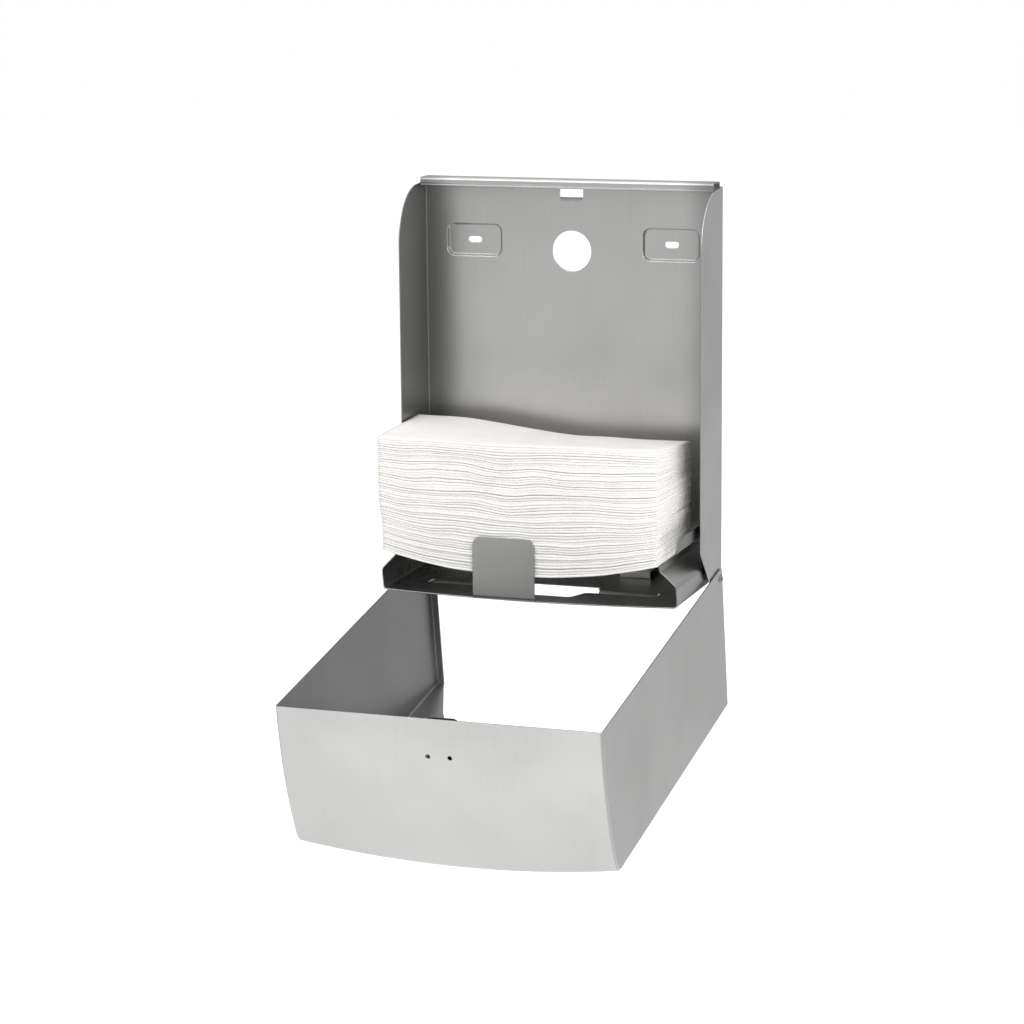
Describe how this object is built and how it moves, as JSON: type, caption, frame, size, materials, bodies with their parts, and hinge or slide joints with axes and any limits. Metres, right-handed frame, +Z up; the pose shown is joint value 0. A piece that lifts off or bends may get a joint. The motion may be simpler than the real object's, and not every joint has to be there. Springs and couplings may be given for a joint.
{
  "type": "folded towel dispenser",
  "caption": "Wall-mounted folded paper towel dispenser in folded stainless sheet, with a swing-down cover, key latch, slotted tray and a pack of towels.",
  "frame": {"origin": "midway between the two wall slots, on the wall plane that the pressed pads stand on", "axes": "+X to the object's right seen from the front, +Y into the wall, +Z up; the front faces -Y"},
  "size_m": [0.2822, 0.3753, 0.538],
  "materials": {
    "brushed_stainless": "satin brushed stainless sheet",
    "tray_stainless": "smooth rolled stainless sheet",
    "latch_steel": "rolled spring steel",
    "rivet_steel": "headed steel rivets and pin",
    "washer_nylon": "moulded nylon",
    "tissue_paper": "embossed white towel paper"
  },
  "bodies": {
    "base": {"base_housing": "brushed_stainless", "tray": "tray_stainless", "tray_rivets": "rivet_steel", "clip_rivets": "rivet_steel", "side_guide_left": "brushed_stainless", "side_guide_right": "brushed_stainless", "tray_clip_left": "brushed_stainless", "tray_clip_right": "brushed_stainless", "hinge_rivet_left": "rivet_steel", "hinge_rivet_right": "rivet_steel", "hinge_washer_left": "washer_nylon", "hinge_washer_right": "washer_nylon"},
    "cover": {"cover_shell": "brushed_stainless", "latch_bracket": "latch_steel", "latch_pin": "rivet_steel", "latch_spring": "latch_steel"},
    "latch": {"latch_leaf": "latch_steel"},
    "pack": {"towel_pack": "tissue_paper"}
  },
  "joints": [
    {"name": "cover_hinge", "type": "hinge", "parent": "base", "child": "cover", "pos_m": [0, -0.01175, -0.2935], "axis": [-1, 0, 0], "range_deg": [0, 99.5]},
    {"name": "latch_pivot", "type": "hinge", "parent": "cover", "child": "latch", "pos_m": [0, -0.33604, -0.40531], "axis": [1, 0, 0], "range_deg": [0, 3.6]},
    {"name": "pack_lift", "type": "slide", "parent": "base", "child": "pack", "axis": [0, 0, 1], "range_m": [0, 0.1]}
  ]
}
